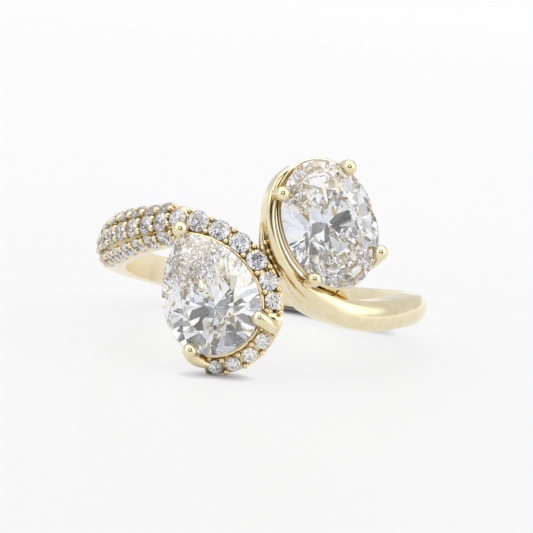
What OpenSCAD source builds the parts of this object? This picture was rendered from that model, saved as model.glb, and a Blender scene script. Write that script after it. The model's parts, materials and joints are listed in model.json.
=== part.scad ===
// Toi et moi ring: one open band whose two ends curl round a pear stone and an oval stone.
// All sizes are in millimetres. The ring is laid on its side, as it rests by itself.

/* [Finger and shank] */
// Diameter of the finger hole
finger_d = 16.5; // [15:0.5:19]
// Wall of the plain shank, from the finger hole to its rounded top
shank_wall = 1.85; // [1.6:0.05:2.2]
// Width of the shank along the finger
shank_w = 1.9; // [1.6:0.1:2.3]
// Height of the rounded top of the shank
shank_crown = 0.48; // [0.3:0.02:0.6]

/* [Pear stone] */
// Length of the pear stone
pear_length = 7.5; // [6.5:0.1:8]
// Width of the pear stone
pear_width = 5.7; // [5:0.1:6]
// Turn of the pear stone round the finger, from the front
pear_turn = -14.7; // [-18:0.5:-13]
// Height of the pear stone's middle along the finger
pear_height = -1.7; // [-2.1:0.1:-1.5]
// Lean of the pear stone's tip
pear_spin = 31.7; // [25:1:38]

/* [Oval stone] */
// Length of the oval stone
oval_length = 7.65; // [6.8:0.1:8]
// Width of the oval stone
oval_width = 5.55; // [5:0.05:6]
// Turn of the oval stone round the finger, from the front
oval_turn = 17.3; // [16:0.5:20]
// Height of the oval stone's middle along the finger
oval_height = 3.3; // [3:0.1:3.8]
// Lean of the oval stone
oval_spin = 30.6; // [25:1:36]

/* [Both heads] */
// Height of the stones' girdles above the finger hole
head_rise = 3.35; // [3.2:0.05:3.8]
// Thickness of the girdle of a large stone
girdle_t = 0.16; // [0.1:0.02:0.24]
// Diameter of the wires of the claws
claw_wire_d = 0.62; // [0.5:0.02:0.74]
// Diameter of the rounded claw tips on the oval stone and at the round end of the pear
claw_tip_d = 0.9; // [0.8:0.02:1]
// Diameter of the wire that runs under the girdle
rim_wire_d = 0.36; // [0.3:0.02:0.44]
// Diameter of the wire at the foot of each basket
base_wire_d = 0.58; // [0.5:0.02:0.7]
// Gap left between a stone and its metal
seat_gap = 0.04; // [0.03:0.01:0.06]

/* [Beaded shoulder] */
// Width of the shoulder that carries three rows of stones
pave_w = 2.42; // [2.3:0.02:2.7]
// Height of its rounded top
pave_crown = 1.12; // [1:0.02:1.2]
// Diameter of its stones
pave_stone_d = 0.98; // [0.86:0.02:1]
// Distance between its stones along the band
pave_pitch = 1.4; // [1.3:0.02:1.5]
// Columns of stones
pave_columns = 7; // [5:1:8]
// Angle of its upper and lower rows from the middle one
pave_row_angle = 57.3; // [56:0.1:60]
// Diameter of the beads that hold the small stones
bead_d = 0.42; // [0.34:0.02:0.46]

/* [Halo] */
// Width of the band beside the pear stone
halo_w = 1.32; // [1.26:0.02:1.44]
// Height of its rounded top
halo_crown = 0.25; // [0.15:0.01:0.35]
// Distance from the pear's edge to the middle of the band
halo_gap = 0.69; // [0.66:0.01:0.8]
// Depth of the band below the girdle
halo_drop = 0.5; // [0.4:0.02:0.6]
// Thickness of the band beside the pear stone
halo_depth = 1.35; // [1.2:0.05:1.5]
// Outward lean of the band's top
halo_lean = 24; // [18:1:28]
// Diameter of the largest halo stones
halo_stone_d = 1.14; // [1.04:0.02:1.16]

/* [Plain shoulder and curl] */
// How far the plain shoulder dips below the shank's middle
shoulder_dip = 1.48; // [1.3:0.02:1.6]
// Width of the curl beside the oval stone
curl_w = 0.72; // [0.64:0.02:0.8]
// Height of its rounded top
curl_crown = 0.16; // [0.1:0.01:0.2]
// Distance from the oval's edge to the middle of the curl
curl_gap = 0.6; // [0.56:0.01:0.7]
// Thickness of the curl below its top
curl_depth = 1.45; // [1.2:0.05:1.6]

/* [Hidden] */
gold = "#e4d29b";
diamond = "#eef1f4";

finger_r = finger_d / 2;
outer_r = finger_r + shank_wall;
girdle_r = finger_r + head_rise;
// The arms reach this far inside the finger hole before it is bored
bore_overlap = 0.35;
bore_h = 2 * finger_d;
bore_sides = 128;

function unit(v) = v / norm(v);
function mix(a, b, share) = a + (b - a) * share;
function turned(angle) = [sin(angle), -cos(angle), 0];
up = [0, 0, 1];

// A head's frame holds its middle, its outward direction, and the stone's two axes
function head_frame(turn, height, spin) =
    let (out = turned(turn), side = [cos(turn), sin(turn), 0])
    [
        girdle_r * out + height * up,
        out,
        cos(spin) * side + sin(spin) * up,
        cos(spin) * up - sin(spin) * side
    ];
function on_head(frame, point, rise) =
    frame[0] + point.x * frame[2] + point.y * frame[3] + rise * frame[1];
function along_head(frame, direction) = direction.x * frame[2] + direction.y * frame[3];

pear_frame = head_frame(pear_turn, pear_height, pear_spin);
oval_frame = head_frame(oval_turn, oval_height, oval_spin);

// The pear's outline is a round end and two long arcs that meet at the tip
pear_end_r = pear_width / 2;
pear_reach = pear_length - pear_end_r;
pear_arc_r = (pear_reach * pear_reach + pear_end_r * pear_end_r) / pear_width;
pear_arc_x = pear_arc_r - pear_end_r;
pear_end_y = pear_end_r - pear_length / 2;

// Point seen at an angle from the round end's centre, gap outside the right side of the outline
function pear_round(angle, gap) = (pear_end_r + gap) * [cos(angle), sin(angle)];
function pear_side(angle, gap) =
    let (b = pear_arc_x * cos(angle))
    let (r = sqrt(b * b - pear_arc_x * pear_arc_x + pow(pear_arc_r + gap, 2)) - b)
    r * [cos(angle), sin(angle)];
function pear_point(angle, gap) =
    let (right = cos(angle) < 0 ? 180 - angle : angle)
    let (p = sin(angle) <= 0 ? pear_round(angle, gap) : pear_side(right, gap))
    [sin(angle) > 0 && cos(angle) < 0 ? -p.x : p.x, p.y + pear_end_y];
function pear_outward(angle) =
    angle <= 0 ? [cos(angle), sin(angle)] : unit(pear_side(angle, 0) + [pear_arc_x, 0]);

function oval_outward(angle) = unit([cos(angle) / oval_width, sin(angle) / oval_length]);
function oval_point(angle, gap) =
    [cos(angle) * oval_width / 2, sin(angle) * oval_length / 2] + gap * oval_outward(angle);

// A key section holds its place, the direction of its top, the direction of its foot, and its
// width, crown, depth and foot width as a share of the top's
function key(place, top, foot, sizes) = [place, top, foot, sizes];

// Halo sections from the tail under the pear to its tip
// angle round the pear, then shares of the halo's gap, lean, drop, width, crown and depth
halo_rows = [
    [-124, 1.00, 1.75, 1.50, 0.92, 1.0, 0.80],
    [-112, 1.00, 1.75, 1.45, 1.00, 1.0, 0.90],
    [-95, 1.00, 1.65, 1.35, 1.00, 1.0, 1.00],
    [-75, 1.00, 1.50, 1.25, 1.00, 1.0, 1.00],
    [-55, 1.00, 1.35, 1.10, 1.00, 1.0, 1.00],
    [-35, 1.00, 1.10, 1.00, 1.00, 1.0, 1.00],
    [-15, 1.00, 1.00, 1.00, 1.00, 1.0, 1.00],
    [5, 1.00, 1.00, 1.00, 1.00, 1.0, 1.00],
    [25, 1.00, 1.00, 1.00, 1.00, 1.0, 1.00],
    [45, 1.00, 1.00, 1.00, 1.00, 1.0, 1.00],
    [63, 1.00, 0.90, 1.00, 1.00, 1.0, 1.10],
    [78, 1.18, 0.70, 1.00, 1.05, 1.3, 1.30],
    [89, 1.42, 0.45, 0.90, 1.25, 2.2, 1.60]
];
halo_foot = 0.6;
halo_keys = [
    for (row = halo_rows)
        let (out = along_head(pear_frame, pear_outward(row[0])))
        let (top = cos(halo_lean * row[2]) * pear_frame[1] + sin(halo_lean * row[2]) * out)
        key(
            on_head(pear_frame, pear_point(row[0], halo_gap * row[1]), -halo_drop * row[3]),
            top, -top,
            [halo_w * row[4], halo_crown * row[5], halo_depth * row[6], halo_foot]
        )
];

// The beaded shoulder runs from the pear's tip to the side of the ring
tip_place = halo_keys[len(halo_keys) - 1][0];
tip_turn = atan2(tip_place.x, -tip_place.y);
tip_r = norm([tip_place.x, tip_place.y]);
side_turn = -90;
// share of the turn to the side, share of the tip's height, share of its rise, lean,
// then shares of the shoulder's width, crown and depth
pave_rows = [
    [0.115, 0.84, 0.78, 4, 0.97, 0.90, 0.72],
    [0.21, 0.75, 0.58, 2, 1.00, 1.00, 0.95],
    [0.315, 0.67, 0.40, -2, 1.03, 1.00, 1],
    [0.44, 0.56, 0.25, -6, 1.08, 1.00, 1],
    [0.57, 0.46, 0.13, -8, 1.13, 1.00, 1],
    [0.715, 0.35, 0.05, -9, 1.12, 0.95, 1],
    [0.87, 0.22, 0.00, -6, 0.97, 0.75, 1]
];
pave_foot = 0.85;
function band_key(turn, height, reach, lean, width, crown, depth, foot) =
    key(
        reach * turned(turn) + height * up,
        cos(lean) * turned(turn) + sin(lean) * up,
        -turned(turn),
        [width, crown, (reach - finger_r + bore_overlap) * depth, foot]
    );
pave_keys = [
    for (row = pave_rows)
        band_key(mix(tip_turn, side_turn, row[0]), tip_place.z * row[1],
            mix(outer_r, tip_r, row[2]), row[3], pave_w * row[4], pave_crown * row[5], row[6],
            pave_foot)
];

// The plain shank goes round the back of the finger
// turn, height and width as shares of the shank's width
shank_rows = [
    [-98, 0.11, 0.94],
    [-115, 0.04, 0.93],
    [-132, 0.01, 0.96],
    [-148, 0, 1],
    [-164, 0, 1],
    [-180, 0, 1],
    [-196, 0, 1],
    [-212, 0, 1],
    [-228, 0, 1],
    [-246, 0, 1]
];
back_row = 5;
shank_keys = [
    for (row = shank_rows)
        band_key(row[0], shank_w * row[1], outer_r, 0, shank_w * row[2], shank_crown, 1, 1)
];

// The plain shoulder dips, then climbs towards the oval
// turn, shares of the dip, of the rise to the girdle, and of the shank's width
shoulder_rows = [
    [95, 0.06, 0, 1],
    [78, 0.27, 0, 1],
    [64, 0.55, 0, 1],
    [52, 0.82, 0.03, 1],
    [40, 1.00, 0.10, 0.98],
    [30, 0.97, 0.20, 0.92]
];
shoulder_keys = [
    for (row = shoulder_rows)
        band_key(row[0], -shoulder_dip * row[1], mix(outer_r, girdle_r, row[2]), 0,
            shank_w * row[3], shank_crown, 1, 1)
];

// The curl climbs the oval's left side and tapers out at its top
// angle round the oval, share of the gap, drop below the girdle as a share of the depth, lean,
// then shares of the curl's width, depth and crown
curl_rows = [
    [238, 1.84, 0.62, 30, 2.10, 1.55, 2.5],
    [222, 1.54, 0.48, 26, 1.70, 1.50, 2.2],
    [208, 1.30, 0.34, 20, 1.36, 1.40, 1.7],
    [194, 1.15, 0.24, 16, 1.13, 1.25, 1.35],
    [178, 1.05, 0.15, 12, 1.00, 1.10, 1.1],
    [160, 0.96, 0.10, 8, 0.96, 1.00, 1.0],
    [142, 0.78, 0.07, 6, 0.98, 0.95, 1.0],
    [124, 0.50, 0.07, 4, 0.88, 0.85, 0.8],
    [108, 0.24, 0.09, 2, 0.62, 0.75, 0.6],
    [96, 0.04, 0.14, 0, 0.40, 0.60, 0.5]
];
curl_foot = 0.85;
curl_keys = [
    for (row = curl_rows)
        let (out = along_head(oval_frame, oval_outward(row[0])))
        key(
            on_head(oval_frame, oval_point(row[0], curl_gap * row[1]), -curl_depth * row[2]),
            cos(row[3]) * oval_frame[1] + sin(row[3]) * out,
            -oval_frame[1],
            [curl_w * row[4], curl_crown * row[6], curl_depth * row[5], curl_foot]
        )
];

// One smooth band through every key section, from the halo's tail to the curl's end
band_keys = concat(halo_keys, pave_keys, shank_keys, shoulder_keys, curl_keys);
back_key = len(halo_keys) + len(pave_keys) + back_row;
band_steps = 2;
function smooth(a, b, c, d, t) =
    (2 * b + (c - a) * t + (2 * a - 5 * b + 4 * c - d) * t * t + (3 * b - a - 3 * c + d) * t * t * t) / 2;
last_key = len(band_keys) - 1;
band = [
    for (i = [0 : last_key], step = [0 : i == last_key ? 0 : band_steps - 1])
        smooth(band_keys[max(i - 1, 0)], band_keys[i], band_keys[min(i + 1, last_key)],
            band_keys[min(i + 2, last_key)], step / band_steps)
];
back_ring = back_key * band_steps;
function travel(i) = unit(band[min(i + 1, len(band) - 1)][0] - band[max(i - 1, 0)][0]);
function squared(v, axis) = unit(v - axis * (v * axis));

// Points of one section: an elliptic top, then the two corners of its foot
top_points = 7;
function section_points(section, along) =
    let (top = squared(section[1], along), foot = squared(section[2], along), sizes = section[3])
    let (side = cross(along, top), foot_side = cross(foot, along))
    concat(
        [
            for (i = [0 : top_points - 1])
                let (angle = 180 * i / (top_points - 1) - 90)
                section[0] + side * (sizes[0] / 2 * sin(angle)) - top * (sizes[1] * (1 - cos(angle)))
        ],
        [
            for (end = [1, -1])
                section[0] + foot * sizes[2] + foot_side * (end * sizes[3] * sizes[0] / 2)
        ]
    );
band_rings = [for (i = [0 : len(band) - 1]) section_points(band[i], travel(i))];

// Solid through a list of rings with equal numbers of points
function flat(list) = [for (part = list) each part];
function quad(a, b, c, d) = [[a, b, c], [a, c, d]];
module loft(rings) {
    sides = len(rings[0]);
    last = (len(rings) - 1) * sides;
    walls = [
        for (i = [0 : len(rings) - 2], j = [0 : sides - 1])
            let (k = (j + 1) % sides)
            each quad(i * sides + j, (i + 1) * sides + j, (i + 1) * sides + k, i * sides + k)
    ];
    start = [for (j = [0 : sides - 1]) j];
    end = [for (j = [sides - 1 : -1 : 0]) last + j];
    polyhedron(flat(rings), concat(walls, [start], [end]));
}

// Round wire through points, with a radius at each
wire_sides = 8;
function wire_rings(points, radii) = [
    for (i = [0 : len(points) - 1])
        let (along = unit(points[min(i + 1, len(points) - 1)] - points[max(i - 1, 0)]))
        let (side = squared(abs(along * up) > 0.9 ? [1, 0, 0] : up, along), other = cross(along, side))
        [
            for (j = [0 : wire_sides - 1])
                let (angle = 360 * j / wire_sides)
                points[i] + radii[i] * (cos(angle) * side + sin(angle) * other)
        ]
];
module wire(points, radii) {
    loft(wire_rings(points, radii));
}

// Closed wire round a head, with the outward direction as its reference
loop_points = 28;
loop_sides = 6;
module loop(frame, points, radius) {
    count = len(points);
    rings = [
        for (i = [0 : count - 1])
            let (along = unit(points[(i + 1) % count] - points[(i + count - 1) % count]))
            let (other = cross(along, frame[1]))
            for (j = [0 : loop_sides - 1])
                let (angle = 360 * (j + 0.5) / loop_sides)
                points[i] + radius * (cos(angle) * frame[1] + sin(angle) * other)
    ];
    walls = [
        for (i = [0 : count - 1], j = [0 : loop_sides - 1])
            let (k = (j + 1) % loop_sides, n = (i + 1) % count)
            each quad(i * loop_sides + j, n * loop_sides + j, n * loop_sides + k, i * loop_sides + k)
    ];
    polyhedron(rings, walls);
}

// Place, outward direction and travel at a length along the band and an angle across its top
band_lengths = [
    for (i = 0, sum = 0; i < len(band);
        sum = sum + (i + 1 < len(band) ? norm(band[i + 1][0] - band[i][0]) : 0), i = i + 1) sum
];
length_table = [for (i = [0 : len(band) - 1]) [band_lengths[i], i]];
function band_at(length, angle) =
    let (spot = lookup(length, length_table), i = min(floor(spot), len(band) - 2))
    let (section = mix(band[i], band[i + 1], spot - i))
    let (along = unit(mix(travel(i), travel(i + 1), spot - i)))
    let (top = squared(section[1], along), side = cross(along, top), sizes = section[3])
    [
        section[0] + side * (sizes[0] / 2 * sin(angle)) - top * (sizes[1] * (1 - cos(angle))),
        unit(side * (sin(angle) * 2 / sizes[0]) + top * (cos(angle) / sizes[1])),
        along
    ];

// Brilliant cut over an outline: table, stars, kites, girdle facets, and the same below
crown_share = 0.15;
pavilion_share = 0.43;
table_share = 0.57;
star_share = 0.79;
keel_share = 0.24;
girdle_points = 48;
eighth = girdle_points / 8;
function cut_ring(frame, outline, middle, count, turn, share, rise) = [
    for (i = [0 : count - 1])
        on_head(frame, mix(middle, outline[(i * girdle_points / count + turn) % girdle_points], share), rise)
];
module brilliant(frame, outline, middle, width, gap) {
    crown = width * crown_share;
    pavilion = width * pavilion_share;
    edge = girdle_t / 2 + gap;
    half = eighth / 2;
    star_rise = edge + crown * (1 - (star_share * cos(22.5) - table_share) / (1 - table_share));
    keel_fall = edge + pavilion * (1 - keel_share * cos(22.5));
    points = concat(
        cut_ring(frame, outline, middle, 8, 0, table_share, edge + crown),
        cut_ring(frame, outline, middle, 8, half, star_share, star_rise),
        cut_ring(frame, outline, middle, girdle_points, 0, 1, edge),
        cut_ring(frame, outline, middle, girdle_points, 0, 1, -edge),
        cut_ring(frame, outline, middle, 8, half, keel_share, -keel_fall),
        [on_head(frame, middle, -edge - pavilion)]
    );
    star = 8;
    top = 16;
    bottom = top + girdle_points;
    keel = bottom + girdle_points;
    culet = keel + 8;
    polyhedron(points, concat(
        [[for (i = [7 : -1 : 0]) i]],
        [for (i = [0 : 7]) [i, (i + 1) % 8, star + i]],
        [for (i = [0 : 7]) each quad(i, star + i, top + i * eighth, star + (i + 7) % 8)],
        [
            for (i = [0 : 7], j = [0 : eighth - 1])
                [star + i, top + (i * eighth + j + 1) % girdle_points, top + i * eighth + j]
        ],
        [
            for (i = [0 : girdle_points - 1])
                let (n = (i + 1) % girdle_points)
                each quad(top + i, top + n, bottom + n, bottom + i)
        ],
        [
            for (i = [0 : 7], j = [0 : eighth - 1])
                [keel + i, bottom + i * eighth + j, bottom + (i * eighth + j + 1) % girdle_points]
        ],
        [for (i = [0 : 7]) each quad(keel + i, culet, keel + (i + 7) % 8, bottom + i * eighth)]
    ));
}
function spread(count) = [for (i = [0 : count - 1]) 360 * i / count - 90];
module pear_cut(gap) {
    outline = [for (angle = spread(girdle_points)) pear_point(angle, gap)];
    brilliant(pear_frame, outline, [0, pear_end_y], pear_width, gap);
}
module oval_cut(gap) {
    outline = [for (angle = spread(girdle_points)) oval_point(angle, gap)];
    brilliant(oval_frame, outline, [0, 0], oval_width, gap);
}

// Round brilliant with eight sides for the small stones
small_girdle_share = 0.05;
function small_ring(frame, r, rise) = [
    for (angle = [0 : 45 : 315]) on_head(frame, r * [cos(angle + 22.5), sin(angle + 22.5)], rise)
];
module small_cut(frame, d, gap) {
    r = d / 2 + gap;
    edge = d * small_girdle_share / 2 + gap;
    points = concat(
        small_ring(frame, r * table_share, edge + d * crown_share),
        small_ring(frame, r, edge),
        small_ring(frame, r, -edge),
        [on_head(frame, [0, 0], -edge - d * pavilion_share)]
    );
    polyhedron(points, concat(
        [[for (i = [7 : -1 : 0]) i]],
        [
            for (level = [0, 8], i = [0 : 7])
                let (a = level + i, b = level + (i + 1) % 8)
                each quad(a, b, b + 8, a + 8)
        ],
        [for (i = [0 : 7]) [16 + i, 16 + (i + 1) % 8, 24]]
    ));
}

// Halo stones from the tail: diameter as a share of the largest stone's, then the way to the next
// stone as a share of the pitch; the long step leaves room for the claw
halo_stone_rows = [
    [0.83, 0.786],
    [0.83, 0.786],
    [0.83, 0.793],
    [0.83, 1.724],
    [0.88, 0.828],
    [1.00, 1],
    [1.00, 1],
    [1.00, 1],
    [1.00, 0.966],
    [1.00, 0.931],
    [0.95, 1]
];
halo_count = len(halo_stone_rows);
halo_start_share = 0.428;
halo_pitches = 10.06;
halo_pitch = band_lengths[(len(halo_keys) - 1) * band_steps] / halo_pitches;
halo_lengths = [
    for (i = 0, at = halo_start_share * halo_pitch; i <= halo_count;
        at = at + (i < halo_count ? halo_stone_rows[i][1] * halo_pitch : 0), i = i + 1) at
];
pave_lengths = [for (i = [0 : pave_columns - 1]) halo_lengths[halo_count] + i * pave_pitch];
pave_angles = [-pave_row_angle, 0, pave_row_angle];

// A small stone sits below the rounded top, so that its edge is level with the sides
stone_sink = 0.09;
function stone_frame(length, angle) =
    let (spot = band_at(length, angle))
    [spot[0] - stone_sink * spot[1], spot[1], cross(spot[2], spot[1]), spot[2]];
module halo_cut(i, gap) {
    small_cut(stone_frame(halo_lengths[i], 0), halo_stone_d * halo_stone_rows[i][0], gap);
}
module pave_cuts(gap) {
    for (length = pave_lengths, angle = pave_angles) {
        small_cut(stone_frame(length, angle), pave_stone_d, gap);
    }
}

// Beads stand in pairs between the small stones
bead_sides = 6;
bead_sink = 0.03;
pave_bead_angle = 13;
halo_bead_angle = 44;
function bead_place(length, angle) =
    let (spot = band_at(length, angle)) spot[0] - bead_sink * spot[1];
pave_bead_places = [
    for (i = [0 : pave_columns], angle = pave_angles, side = [-1, 1])
        bead_place(pave_lengths[0] + (i - 0.5) * pave_pitch, angle + side * pave_bead_angle)
];
// The step that leaves room for the claw has beads at both of its ends
claw_step = 4;
claw_bead_share = 0.5;
halo_bead_places = [
    for (i = [1 : halo_count - 1], side = [-1, 1])
        if (i != claw_step)
            bead_place((halo_lengths[i - 1] + halo_lengths[i]) / 2, side * halo_bead_angle)
];
claw_bead_places = [
    for (end = [claw_step - 1, claw_step], side = [-1, 1])
        let (away = end == claw_step ? -1 : 1)
        bead_place(halo_lengths[end] + away * claw_bead_share * halo_pitch, side * halo_bead_angle)
];
bead_places = concat(pave_bead_places, halo_bead_places, claw_bead_places);
module beads() {
    for (place = bead_places) {
        translate(place) sphere(d = bead_d, $fn = bead_sides);
    }
}

// Baskets: a wire under the girdle, a wire at the foot, and claws between them
rim_inset = 0.04;
rim_drop = 0.46;
foot_inset = 0.55;
foot_drop = 1.7;
function pear_spot(angle, gap, rise) = on_head(pear_frame, pear_point(angle, gap), rise);
function oval_spot(angle, gap, rise) = on_head(oval_frame, oval_point(angle, gap), rise);
function pear_loop(gap, rise) = [for (angle = spread(loop_points)) pear_spot(angle, gap, rise)];
function oval_loop(gap, rise) = [for (angle = spread(loop_points)) oval_spot(angle, gap, rise)];
module baskets() {
    loop(pear_frame, pear_loop(-rim_inset, -rim_drop), rim_wire_d / 2);
    loop(pear_frame, pear_loop(-foot_inset, -foot_drop), base_wire_d / 2);
    loop(oval_frame, oval_loop(-rim_inset, -rim_drop), rim_wire_d / 2);
    loop(oval_frame, oval_loop(-foot_inset, -foot_drop), base_wire_d / 2);
}

// Each claw rises from the foot wire, passes outside the girdle and ends in a ball over its edge
// gap outside the stone's outline, then rise above its girdle
claw_steps = [
    [-foot_inset, -foot_drop],
    [0, -1],
    [claw_wire_d / 2, -0.3]
];
// The claw at the tail comes over the halo
tail_claw_steps = [
    [halo_gap + halo_w * 0.42, -halo_drop * 1.3],
    [halo_gap, -halo_drop * 0.5],
    [halo_gap * 0.5, halo_drop * 0.5]
];
// The claw at the tip comes from the shoulder
tip_claw_steps = [
    [-foot_inset, -foot_drop],
    [0.1, -1],
    [0.24, -0.1]
];
// Two short wires hold the edges of the tip
// angle from the tip, gap, rise, then radius as a share of the claw wire's diameter
tip_wire_rows = [
    [0, 0.16, 0.3255, 0.5],
    [7, 0.12, 0.16, 0.38],
    [14, 0.1, 0.02, 0.26]
];
claw_end_share = 0.4;
oval_claw_angles = [42.2, 137.8, 222.2, 317.8];
oval_claw_gap = 0.12;
oval_claw_rise = 0.348;
pear_claw_rise = 0.465;
pear_free_angle = -138;
pear_tail_angle = -42;
pear_tip_gap = 0.16;
ball_sides = 12;
oval_balls = [for (angle = oval_claw_angles) oval_spot(angle, oval_claw_gap, oval_claw_rise)];
pear_free_ball = pear_spot(pear_free_angle, 0, pear_claw_rise);
pear_tail_ball = pear_spot(pear_tail_angle, 0, pear_claw_rise);
pear_tip_ball = pear_spot(90, pear_tip_gap, pear_claw_rise);
ball_places = concat(oval_balls, [pear_free_ball, pear_tail_ball, pear_tip_ball]);
module claw(points) {
    last = len(points) - 1;
    wire(points, [for (i = [0 : last]) claw_wire_d * (i == last ? claw_end_share : 0.5)]);
    translate(points[last]) sphere(d = claw_tip_d, $fn = ball_sides);
}
function pear_steps(angle, steps) = [for (step = steps) pear_spot(angle, step[0], step[1])];
module claws() {
    for (i = [0 : len(oval_balls) - 1]) {
        claw(concat(
            [for (step = claw_steps) oval_spot(oval_claw_angles[i], step[0], step[1])],
            [oval_balls[i]]
        ));
    }
    claw(concat(pear_steps(pear_free_angle, claw_steps), [pear_free_ball]));
    claw(concat(pear_steps(pear_tail_angle, tail_claw_steps), [pear_tail_ball]));
    claw(concat(pear_steps(90, tip_claw_steps), [pear_tip_ball]));
    for (side = [-1, 1]) {
        wire(
            [for (row = tip_wire_rows) pear_spot(90 + side * row[0], row[1], row[2])],
            [for (row = tip_wire_rows) claw_wire_d * row[3]]
        );
    }
}

// The halo and the curl are joined where they meet, and the oval's basket stands on the shoulder
seam_r = 0.46;
seam_depth = 0.85;
seam_pairs = [[9, 4], [8, 3], [7, 2]];
// Turn of each strut's foot on the shoulder, and the angle round the oval of its head
struts = [[24, 252], [34, 278]];
module joins() {
    wire(
        [
            for (pair = seam_pairs)
                let (middle = (halo_keys[pair[0]][0] + curl_keys[pair[1]][0]) / 2)
                middle - seam_depth * unit([middle.x, middle.y, 0])
        ],
        [for (pair = seam_pairs) seam_r]
    );
    for (strut = struts) {
        wire(
            [
                (outer_r - claw_wire_d) * turned(strut[0]) - shoulder_dip * up,
                oval_spot(strut[1], -foot_inset, -foot_drop)
            ],
            [claw_wire_d / 2, claw_wire_d / 2]
        );
    }
}

module casting() {
    loft([for (i = [0 : back_ring]) band_rings[i]]);
    loft([for (i = [back_ring : len(band_rings) - 1]) band_rings[i]]);
    baskets();
    claws();
    joins();
    beads();
}
module seats() {
    pear_cut(seat_gap);
    oval_cut(seat_gap);
    pave_cuts(seat_gap);
    for (i = [0 : halo_count - 1]) {
        halo_cut(i, seat_gap);
    }
}

// The ring's middle of weight, from the band's sections and from both heads
// A head weighs as much as this share of a gold block of the stone's length, width and width
head_block_share = 0.14;
head_sink = 0.6;
band_weights = [
    for (i = [1 : len(band) - 1])
        let (sizes = band[i][3]) sizes[0] * sizes[2] * (band_lengths[i] - band_lengths[i - 1])
];
band_middles = [
    for (i = [1 : len(band) - 1]) band[i][0] + squared(band[i][2], travel(i)) * (band[i][3][2] / 2)
];
head_weights = head_block_share * [
    pear_length * pear_width * pear_width,
    oval_length * oval_width * oval_width
];
head_middles = [on_head(pear_frame, [0, 0], -head_sink), on_head(oval_frame, [0, 0], -head_sink)];
all_weights = concat(band_weights, head_weights);
weight = (all_weights * concat(band_middles, head_middles)) / (all_weights * [for (w = all_weights) 1]);

// The ring rests on three points. It starts on the lowest one and the one of least slope from it,
// and tips over an edge until its weight lies between the three.
foot_apart = 0.2;
most_tips = 12;
rest_points = flat(band_rings);
function least(points, values) =
    let (low = min(values)) [for (i = [0 : len(points) - 1]) if (values[i] == low) points[i]][0];
function flat_part(v) = [v.x, v.y, 0];
function upward(v) = v.z > 0 ? unit(v) : -unit(v);
function next_foot(a, b) =
    let (side = unit(cross(b - a, up)), inward = side * (weight - a) > 0 ? side : -side)
    let (over = upward(cross(inward, b - a)))
    let (points = [for (p = rest_points) if ((p - a) * inward > foot_apart) p])
    least(points, [for (p = points) ((p - a) * over) / ((p - a) * inward)]);
function beyond(a, b, inner, plane) =
    (cross(b - a, weight - a) * plane) * (cross(b - a, inner - a) * plane) < 0;
function settle(a, b, tips) =
    let (c = next_foot(a, b), plane = upward(cross(b - a, c - a)))
    tips == 0 ? plane :
    beyond(a, c, b, plane) ? settle(a, c, tips - 1) :
    beyond(b, c, a, plane) ? settle(b, c, tips - 1) : plane;
low_foot = least(rest_points, [for (p = rest_points) p.z]);
far_points = [for (p = rest_points) if (norm(flat_part(p - low_foot)) > foot_apart) p];
far_foot = least(far_points, [for (p = far_points) (p - low_foot).z / norm(flat_part(p - low_foot))]);
rest_up = settle(low_foot, far_foot, most_tips);
rest_back = squared([0, 1, 0], rest_up);
rest_side = cross(rest_back, rest_up);
function rested(p) = [rest_side * p, rest_back * p, rest_up * p];

// The origin is at the middle of the bottom of the whole ring's box
reach_points = concat(
    [for (p = rest_points) [rested(p), 0]],
    [for (p = bead_places) [rested(p), bead_d / 2]],
    [for (p = ball_places) [rested(p), claw_tip_d / 2]]
);
function low_side(axis) = min([for (p = reach_points) p[0][axis] - p[1]]);
function high_side(axis) = max([for (p = reach_points) p[0][axis] + p[1]]);
origin = [(low_side(0) + high_side(0)) / 2, (low_side(1) + high_side(1)) / 2, low_side(2)];
module laid_down() {
    translate(-origin)
        multmatrix([
            [rest_side.x, rest_side.y, rest_side.z, 0],
            [rest_back.x, rest_back.y, rest_back.z, 0],
            [rest_up.x, rest_up.y, rest_up.z, 0],
            [0, 0, 0, 1]
        ])
            children();
}

// The casting is fused first, and the finger hole is bored after
module ring_mount() {
    color(gold) laid_down() difference() {
        resize([0, 0, 0]) difference() {
            casting();
            seats();
        }
        cylinder(h = bore_h, r = finger_r, center = true, $fn = bore_sides);
    }
}
module pear_stone() {
    color(diamond) laid_down() pear_cut(0);
}
module oval_stone() {
    color(diamond) laid_down() oval_cut(0);
}
module halo_stone(i) {
    color(diamond) laid_down() halo_cut(i, 0);
}
module shoulder_pave() {
    color(diamond) laid_down() pave_cuts(0);
}

function halo_name(i) = str("halo_stone_", i < 9 ? "0" : "", i + 1);
ring_mount();
pear_stone();
oval_stone();
for (i = [0 : halo_count - 1]) {
    halo_stone(i);
}
shoulder_pave();
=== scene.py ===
import json
import math
import bmesh
import bpy
import numpy as np
from mathutils import Matrix, Vector


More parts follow.
